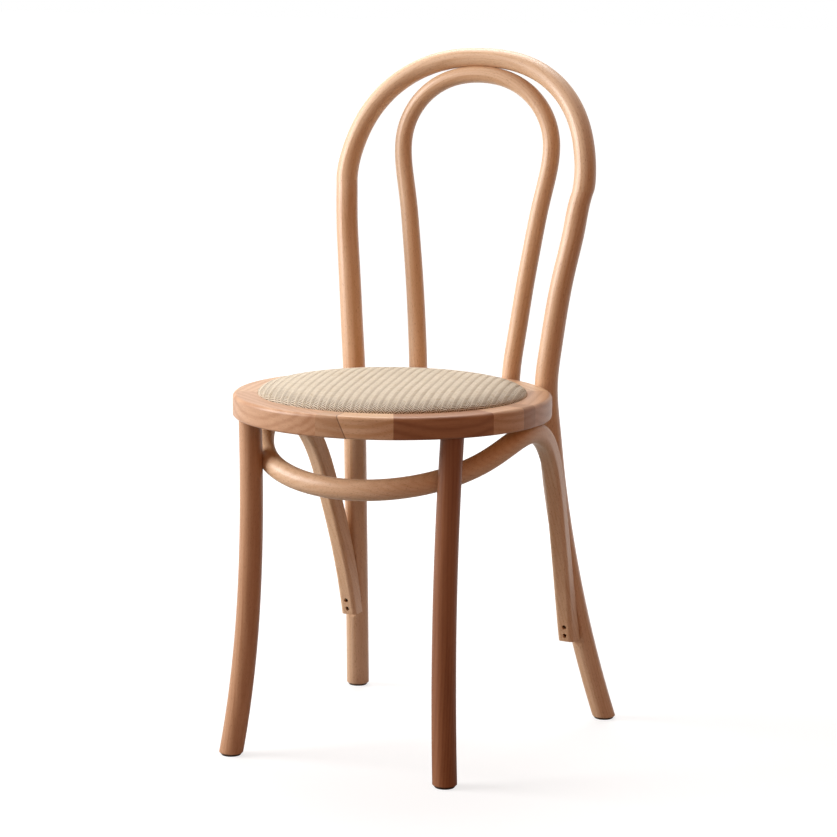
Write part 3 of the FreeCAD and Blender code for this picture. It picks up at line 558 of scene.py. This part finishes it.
def add_board_joint(number, top_turn, bottom_turn, darker_side, shade, line):
    """Draws a glued joint across a rim segment, from a turn at the rim's top to another at its bottom."""
    tree = nodes[f"rim_segment_{number}"].data.materials[0].node_tree
    shader = tree.nodes["Principled BSDF"]
    tone = shader.inputs["Base Color"].links[0].from_socket
    x, y, z = parts_of(tree, position(tree))
    turn = calc(tree, "ARCTAN2", x, calc(tree, "SUBTRACT", SEAT_AXIS.y, y))
    drop = calc(tree, "DIVIDE", calc(tree, "SUBTRACT", SEAT_TOP, z), SEAT_TOP - RIM_BOTTOM)
    joint = calc(tree, "MULTIPLY_ADD", drop, math.radians(bottom_turn - top_turn), math.radians(top_turn))
    past = calc(tree, "MULTIPLY", calc(tree, "SUBTRACT", turn, joint), darker_side * COVER_RADIUS)
    # The darker board: the board's own tone, and on the second joint partly painted shade
    darker = calc(tree, "MULTIPLY", fade(tree, past, -JOINT_BLUR, JOINT_BLUR), shade)
    board = blend(tree, darker, tone, FLECK)
    seam = fade(tree, calc(tree, "ABSOLUTE", past), GLUE_REACH, JOINT_BLUR)
    glued = blend(tree, calc(tree, "MULTIPLY", seam, line), board, GLUE_LINE)
    tree.links.new(glued, shader.inputs["Base Color"])


def finish_node(name, material):
    """Gives a frame piece its finish."""
    materials = nodes[name].data.materials
    materials.clear()
    materials.append(material)


def segment_turns():
    """The middle turn of each rim segment, from its corners round the seat's axis."""
    turns = {}
    for name, piece in nodes.items():
        if name.startswith("rim_segment"):
            points = [vertex.co - SEAT_AXIS for vertex in piece.data.vertices]
            middle = sum((Vector((point.x, point.y, 0)).normalized() for point in points), Vector())
            turns[name] = math.degrees(math.atan2(middle.x, -middle.y))
    return turns


def finish_rods():
    """Beech on the bent rods, each with its own redness and its own part of the figure."""
    rods = [
        ("front_leg_left", leg_grain, 1.8, 0.0, None),
        ("front_leg_right", leg_grain, 3.0, 0.0, None),
        ("back_post_left", post_grain, 1.1, BACK_COAT, None),
        ("back_post_right", post_grain, 1.0, BACK_COAT, None),
        ("back_arch", arch_grain, 0.4, BACK_COAT, None),
        ("inner_loop", loop_grain, 0.6, BACK_COAT, None),
        ("brace", brace_front_grain, 0.6, 0.0, brace_second_grain),
    ]
    for seed, (name, grain, redness, coat, second_grain) in enumerate(rods, start=1):
        finish_node(name, beech(name + "_beech", grain, redness, seed, ROD_RINGS, coat, second_grain))


def finish_rim():
    """Beech on the rim's boards, and the joints drawn within them."""
    for name, turn in segment_turns().items():
        number = int(name.rsplit("_", 1)[1])
        seed = FIRST_BOARD_SEED + number
        redness = SEGMENT_REDNESS[number]
        finish_node(name, beech(name + "_beech", segment_grain(turn), redness, seed, BOARD_RINGS))
    for joint in BOARD_JOINTS_AND_SHADE:
        add_board_joint(*joint)


def finish_hidden_wood():
    """Bare wood on the dowels and the pad's panel."""
    dowel_finish = plain_wood("dowel_finish", colour(214, 176, 128), colour(190, 148, 100))
    for name in ("rim_dowels", "shoulder_dowels", "apex_dowel"):
        finish_node(name, dowel_finish)
    finish_node("seat_panel", plain_wood("plywood_finish", colour(214, 180, 132), colour(178, 136, 90)))


def finish_fittings():
    """Screws and glides."""
    steel = screw_steel()
    plastic = glide_plastic()
    for name in nodes:
        if name.endswith("_screws"):
            finish_node(name, steel)
        elif "_glide_" in name:
            finish_node(name, plastic)


# The woven pad
def active_mesh(name):
    """Names the object just added, and gives it back with its mesh."""
    piece = bpy.context.object
    piece.name = name
    piece.data.name = name
    return piece, piece.data


def select_only(piece):
    """Makes one piece the selected and active one."""
    bpy.ops.object.select_all(action="DESELECT")
    piece.select_set(True)
    bpy.context.view_layer.objects.active = piece


def apply_array(piece, count, step, **settings):
    """Repeats a piece at a step."""
    bpy.context.view_layer.objects.active = piece
    array = piece.modifiers.new("array", "ARRAY")
    array.count = count
    array.use_relative_offset = False
    array.use_constant_offset = True
    array.constant_offset_displace = step
    for name, value in settings.items():
        setattr(array, name, value)
    bpy.ops.object.modifier_apply(modifier=array.name)


def pick(piece, kind, wanted):
    """Selects the corners or faces of a piece that are wanted, and leaves it in edit mode."""
    bpy.ops.object.mode_set(mode="OBJECT")
    select_only(piece)
    bpy.ops.object.mode_set(mode="EDIT")
    bpy.ops.mesh.select_mode(type=kind)
    bpy.ops.mesh.select_all(action="DESELECT")
    bpy.ops.object.mode_set(mode="OBJECT")
    for element in {"VERT": piece.data.vertices, "FACE": piece.data.polygons}[kind]:
        element.select = wanted(element)
    bpy.ops.object.mode_set(mode="EDIT")


def face_outwards():
    """Points all the faces outwards, in edit mode, and leaves it."""
    bpy.ops.mesh.select_all(action="SELECT")
    bpy.ops.mesh.normals_make_consistent(inside=False)
    bpy.ops.object.mode_set(mode="OBJECT")


def make_section():
    """The pad's section as radius and height, from the crown to the sunk edge, and the reach of each point
    along it."""
    points = []
    for step in range(SECTION_STEPS + 1):
        turn = math.pi / 2 * (step / SECTION_STEPS) ** 2
        points.append((PAD_RADIUS * math.sqrt(math.sin(turn)), SEAT_TOP + CROWN_RISE * math.cos(turn)))
    points.append((PAD_RADIUS, SEAT_TOP - SUNK_EDGE))
    reaches = [0.0]
    for first, second in zip(points, points[1:]):
        reaches.append(reaches[-1] + math.dist(first, second))
    return points, reaches


SECTION, REACHES = make_section()
MAT_RADIUS = REACHES[-1]


def pad_profile(reach):
    """The pad's section at a reach along its surface from the crown: radius, height and outward direction."""
    step = min(bisect.bisect_right(REACHES, reach), len(REACHES) - 1)
    radius, height = SECTION[step - 1]
    next_radius, next_height = SECTION[step]
    length = REACHES[step] - REACHES[step - 1]
    past = reach - REACHES[step - 1]
    out = (height - next_height) / length
    up = (next_radius - radius) / length
    return radius + up * past, height - out * past, out, up


def weave_height(crossing):
    """How high a strip lies at a crossing: level along its floats, with a steep step between them."""
    wave = math.sin(2 * math.pi * crossing / TWILL_REPEAT)
    return math.copysign(WEAVE_RISE * abs(wave) ** WEAVE_STEEPNESS, wave)


def nearest_line(vertex):
    """The number of the strip that a corner of the flat mat belongs to."""
    return round(vertex.co.x / STRIP_PITCH)


def make_strips(name, turned):
    """One set of the mat's strips, flat. The turned set runs across the other and passes over where it
    passes under."""
    bpy.ops.object.select_all(action="DESELECT")
    bpy.ops.mesh.primitive_cube_add(size=1.0)
    strip, mesh = active_mesh(name)
    strip.scale = (STRIP_BASE_WIDTH, STRIP_PITCH, STRIP_THICKNESS)
    bpy.ops.object.transform_apply(location=False, rotation=False, scale=True)
    pick(strip, "FACE", lambda face: abs(face.normal.y) > 0.5)
    bpy.ops.mesh.delete(type="FACE")
    bpy.ops.object.mode_set(mode="OBJECT")
    for vertex in mesh.vertices:
        if vertex.co.z > 0:
            vertex.co.x = math.copysign(STRIP_TOP_WIDTH / 2, vertex.co.x)

    crossings = int(MAT_RADIUS / STRIP_PITCH + TWILL_REPEAT)
    apply_array(strip, 2 * crossings, (0, STRIP_PITCH, 0), use_merge_vertices=True,
                merge_threshold=MERGE_REACH)
    for vertex in mesh.vertices:
        vertex.co.y -= (crossings - 0.5) * STRIP_PITCH
        crossing = vertex.co.y / STRIP_PITCH + (0.5 if turned else -0.5)
        vertex.co.z += weave_height(crossing)

    blocks = 2 * crossings // TWILL_REPEAT + 1
    apply_array(strip, TWILL_REPEAT, (STRIP_PITCH, STRIP_PITCH, 0))
    apply_array(strip, blocks, (TWILL_REPEAT * STRIP_PITCH, 0, 0))
    shift = round(blocks / 2) * TWILL_REPEAT * STRIP_PITCH
    for vertex in mesh.vertices:
        vertex.co.x -= shift
    trim_strips(strip)
    mark_strips(mesh)
    if turned:
        for vertex in mesh.vertices:
            vertex.co.x, vertex.co.y = vertex.co.y, vertex.co.x
    return strip


def trim_strips(strip):
    """Cuts the strips to a round mat and closes their ends."""
    def outside(vertex):
        return math.hypot(nearest_line(vertex) * STRIP_PITCH, vertex.co.y) > MAT_RADIUS

    pick(strip, "VERT", outside)
    bpy.ops.mesh.delete(type="VERT")
    bpy.ops.mesh.select_mode(type="EDGE")
    bpy.ops.mesh.select_non_manifold(extend=False, use_wire=False, use_multi_face=False,
                                     use_non_contiguous=False, use_verts=False)
    bpy.ops.mesh.edge_face_add()
    face_outwards()


def mark_strips(mesh):
    """Keeps for the finish each strip's own tone, where a point lies across and along it, and how high."""
    draw = random.Random(STRIP_SEED)
    tones = {}
    mesh.attributes.new("strip_line", "FLOAT_VECTOR", "POINT")
    mesh.attributes.new("strip_lift", "FLOAT", "POINT")
    lines = mesh.attributes["strip_line"].data
    lifts = mesh.attributes["strip_lift"].data
    for vertex in mesh.vertices:
        line = nearest_line(vertex)
        if line not in tones:
            tones[line] = draw.random()
        lines[vertex.index].vector = (vertex.co.x / STRIP_PITCH - line, vertex.co.y, tones[line])
        lifts[vertex.index].value = vertex.co.z / WEAVE_RISE


def drape_mat(mesh):
    """Turns the flat mat to its place and lays it over the pad."""
    turn = Matrix.Rotation(math.radians(WEAVE_TURN), 3, "Z")
    for vertex in mesh.vertices:
        flat = turn @ Vector((vertex.co.x, vertex.co.y, 0))
        reach = flat.length
        radius, height, out, up = pad_profile(reach)
        way = flat / reach if reach > 0 else Vector()
        lift = vertex.co.z - WEAVE_RISE
        vertex.co = SEAT_AXIS + way * (radius + out * lift) + Vector((0, 0, height + up * lift))


def make_cushion():
    """The cushion under the mat: a crowned round form that rests flat on the panel."""
    sink = 2 * WEAVE_RISE + STRIP_THICKNESS
    profile = []
    for step in range(CUSHION_STEPS + 1):
        radius, height, out, up = pad_profile(MAT_RADIUS * step / CUSHION_STEPS)
        profile.append(Vector((radius - out * sink, 0, height - up * sink)))
    profile[0].x = 0
    profile.append(Vector((profile[-1].x, 0, PANEL_TOP + PANEL_GAP)))
    profile.append(Vector((0, 0, PANEL_TOP + PANEL_GAP)))
    bpy.ops.object.select_all(action="DESELECT")
    bpy.ops.mesh.primitive_circle_add(vertices=len(profile), radius=COVER_RADIUS)
    cushion, mesh = active_mesh("cushion")
    for vertex, spot in zip(mesh.vertices, profile):
        vertex.co = spot
    bpy.ops.object.mode_set(mode="EDIT")
    bpy.ops.mesh.select_all(action="SELECT")
    bpy.ops.mesh.spin(steps=CUSHION_TURNS, angle=2 * math.pi, center=(0, 0, 0), axis=(0, 0, 1))
    bpy.ops.mesh.select_all(action="SELECT")
    bpy.ops.mesh.remove_doubles(threshold=MERGE_REACH)
    face_outwards()
    for vertex in mesh.vertices:
        vertex.co += SEAT_AXIS
    return cushion


# The strips' colours, the lines and patches of tone along them, and the painted shade of the gaps between
# them
STRIP_CREAMS = (colour(196, 185, 162), colour(220, 209, 189))
STRIP_WARM = colour(196, 178, 144)
# Painted shade: the dark colour given to the strips' edges and sunk parts for the gaps between them
STRIP_GAP_SHADE = colour(84, 58, 36)
LINES_ACROSS = 9.0
LINES_ALONG = 60.0
LINES_APART = 50.0
LINES_SCALE = 1.6
PATCHES_ALONG = 40.0
PATCHES_SCALE = 3.0
TONE_SHARE = 0.45
LINES_SHARE = 0.55

# Painted shade between the strips: where on a strip's edge it lies, how it grows from faint on the crown to
# full over the rolled edge, and how far the strips' sunk parts take it on the roll
STRIP_FLAT = 0.20
STRIP_EDGE = 0.36
GAP_SHADE_REACH = 0.036
GAP_SHADE_WHOLE = 0.004
GAP_SHADE_CROWN = 0.34
ROLLED_WHOLE = 0.008
LIFT_CLEAR = 1.2
LIFT_SUNK = -0.4
SUNK_SHADE_SHARE = 0.85


def woven_strip_gap_shade_finish():
    """Cream woven strips, each with its own tone and fine lines along it. Their edges carry painted shade for
    the gaps between them, faint on the crown and full where the mat rolls over its edge, and there the sunk
    parts of the strips take painted shade too."""
    material, tree, shader = new_material("woven_strip_gap_shade_finish")
    line = place(tree, "ShaderNodeAttribute", attribute_name="strip_line").outputs["Vector"]
    lift = place(tree, "ShaderNodeAttribute", attribute_name="strip_lift").outputs["Fac"]
    across, along, tone = parts_of(tree, line)
    drawn = vector_of(tree, calc(tree, "MULTIPLY", across, LINES_ACROSS),
                      calc(tree, "MULTIPLY", along, LINES_ALONG), calc(tree, "MULTIPLY", tone, LINES_APART))
    fibre = noise(tree, drawn, LINES_SCALE, detail=3.0)
    patched = vector_of(tree, tone, calc(tree, "MULTIPLY", along, PATCHES_ALONG), tone)
    patch = noise(tree, patched, PATCHES_SCALE)
    share = calc(tree, "ADD", calc(tree, "MULTIPLY", tone, TONE_SHARE),
                 calc(tree, "MULTIPLY", fibre, LINES_SHARE), clamp=True)
    cream = blend(tree, share, *STRIP_CREAMS)
    warm = blend(tree, fade(tree, patch, start=0.55, end=0.8), cream, STRIP_WARM)

    x, y = parts_of(tree, position(tree))[:2]
    from_axis = length_of(tree, vector_of(tree, x, calc(tree, "SUBTRACT", y, SEAT_AXIS.y), 0.0))
    gap_shade_start = PAD_RADIUS - GAP_SHADE_REACH
    gap_shade_share = fade(tree, from_axis, gap_shade_start, PAD_RADIUS - GAP_SHADE_WHOLE, GAP_SHADE_CROWN, 1.0)
    rolled = fade(tree, from_axis, gap_shade_start, PAD_RADIUS - ROLLED_WHOLE)
    edge = fade(tree, calc(tree, "ABSOLUTE", across), STRIP_FLAT, STRIP_EDGE)
    sunk = fade(tree, lift, LIFT_CLEAR, LIFT_SUNK, 0.0, SUNK_SHADE_SHARE)
    # Painted shade: the strips' edges, and on the roll their sunk parts, take the dark gap colour
    painted_gap_shade = calc(tree, "MAXIMUM", calc(tree, "MULTIPLY", edge, gap_shade_share), calc(tree, "MULTIPLY", sunk, rolled))
    tree.links.new(blend(tree, painted_gap_shade, warm, STRIP_GAP_SHADE), shader.inputs["Base Color"])
    roughen(tree, shader, fibre, spread=0.2, least=0.5)
    bump(tree, shader, fibre, strength=0.35, distance=0.0002)
    return material


def cushion_gap_shade_finish():
    """The cushion under the mat, dark brown with a cloth texture, which shows in the gaps between the strips
    as painted shade.
    """
    material, tree, shader = new_material("cushion_gap_shade_finish")
    threads = noise(tree, position(tree), scale=900.0)
    # Painted shade: this dark brown is what the gaps between the strips show
    cloth = blend(tree, threads, colour(70, 50, 32), colour(104, 78, 52))
    tree.links.new(cloth, shader.inputs["Base Color"])
    bump(tree, shader, threads, strength=0.4, distance=0.0003)
    shader.inputs["Roughness"].default_value = 0.9
    return material


def make_pad():
    """The woven pad: the mat of strips over its cushion, as one piece."""
    strip_sets = [make_strips("strips_along", False), make_strips("strips_across", True)]
    strip_finish = woven_strip_gap_shade_finish()
    for strips in strip_sets:
        drape_mat(strips.data)
        strips.data.materials.append(strip_finish)
        select_only(strips)
        bpy.ops.object.mode_set(mode="EDIT")
        face_outwards()
        bpy.ops.object.shade_smooth_by_angle(angle=math.radians(SMOOTH_ANGLE))
    pad = make_cushion()
    pad.data.materials.append(cushion_gap_shade_finish())
    select_only(pad)
    bpy.ops.object.shade_smooth_by_angle(angle=math.radians(SMOOTH_ANGLE))
    for strips in strip_sets:
        strips.select_set(True)
    bpy.context.view_layer.objects.active = pad
    bpy.ops.object.join()
    pad.name = "woven_pad"
    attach(pad, "root")
    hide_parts("woven_cover", "seat_foam")


# Floor, light and camera
def seen_white(tree, vector, near, far):
    """How white the camera sees the surroundings: fully, and in reflections only on the backdrop's side. The
    room in front is dim, so that a reflection of it leaves the wood its colour."""
    path = place(tree, "ShaderNodeLightPath").outputs
    behind = place(tree, "ShaderNodeVectorMath", {0: vector, 1: BACKDROP_WAY}, operation="DOT_PRODUCT")
    mirrored = calc(tree, "MULTIPLY", path["Is Glossy Ray"], fade(tree, behind.outputs["Value"], near, far))
    direct = calc(tree, "MAXIMUM", path["Is Camera Ray"], path["Is Transmission Ray"])
    return calc(tree, "MAXIMUM", direct, mirrored)


def make_floor():
    """A plain floor that keeps the chair's shadow and fades to white away from it."""
    bpy.ops.object.select_all(action="DESELECT")
    bpy.ops.mesh.primitive_plane_add(size=FLOOR_SIZE, location=(0, 0, 0))
    floor, mesh = active_mesh("floor")
    material = bpy.data.materials.new("floor_white")
    material.use_nodes = True
    tree = material.node_tree
    tree.nodes.remove(tree.nodes["Principled BSDF"])
    diffuse = place(tree, "ShaderNodeBsdfDiffuse", {"Color": FLOOR_GREY})
    spread = fade(tree, length_of(tree, position(tree)), GLOW_START, GLOW_WHOLE, FLOOR_GLOW, 1.0)
    seen = seen_white(tree, position(tree), near=0.0, far=1.0)
    white = calc(tree, "MULTIPLY", seen, spread)
    glow = place(tree, "ShaderNodeEmission", {"Color": WHITE, "Strength": white})
    surface = place(tree, "ShaderNodeAddShader", {0: diffuse.outputs[0], 1: glow.outputs[0]})
    tree.links.new(surface.outputs[0], tree.nodes["Material Output"].inputs["Surface"])
    mesh.materials.append(material)


def make_world():
    """A warm room that is neutral overhead, and white where the camera sees it."""
    world = bpy.data.worlds.new("studio")
    bpy.context.scene.world = world
    world.use_nodes = True
    tree = world.node_tree
    way = place(tree, "ShaderNodeTexCoord").outputs["Generated"]
    seen = seen_white(tree, way, near=-0.3, far=0.4)
    overhead = fade(tree, parts_of(tree, way)[2], OVERHEAD_START, OVERHEAD_WHOLE)
    room = blend(tree, overhead, WARM_ROOM, WHITE)
    background = tree.nodes["Background"]
    tree.links.new(blend(tree, seen, room, WHITE), background.inputs["Color"])
    tree.links.new(fade(tree, seen, 0.0, 1.0, ROOM_STRENGTH, 1.0), background.inputs["Strength"])


def make_lights():
    """A wide key from the left, a soft lamp above and a little behind, and a weak warm fill in front."""
    for name, (spot, size, power, tint) in LAMPS.items():
        lamp = bpy.data.lights.new(name, "AREA")
        lamp.size = size
        lamp.energy = power
        lamp.color = tint[:3]
        holder = bpy.data.objects.new(name, lamp)
        bpy.context.scene.collection.objects.link(holder)
        holder.location = spot
        holder.rotation_euler = (Vector(LAMP_TARGET) - Vector(spot)).to_track_quat("-Z", "Y").to_euler()


def make_camera():
    """The photograph's camera."""
    camera = bpy.data.cameras.new("camera")
    camera.sensor_width = SENSOR
    camera.lens = FOCAL_PIXELS / PICTURE_SIZE * SENSOR
    holder = bpy.data.objects.new("camera", camera)
    bpy.context.scene.collection.objects.link(holder)
    aimed = (AIM - EYE).to_track_quat("-Z", "Y").to_matrix().to_4x4()
    holder.matrix_world = Matrix.Translation(EYE) @ aimed @ Matrix.Rotation(math.radians(ROLL), 4, "Z")
    bpy.context.scene.camera = holder


finish_rods()
finish_rim()
finish_hidden_wood()
finish_fittings()
make_pad()
make_floor()
make_world()
make_lights()
make_camera()
bpy.context.scene.view_settings.view_transform = "Standard"
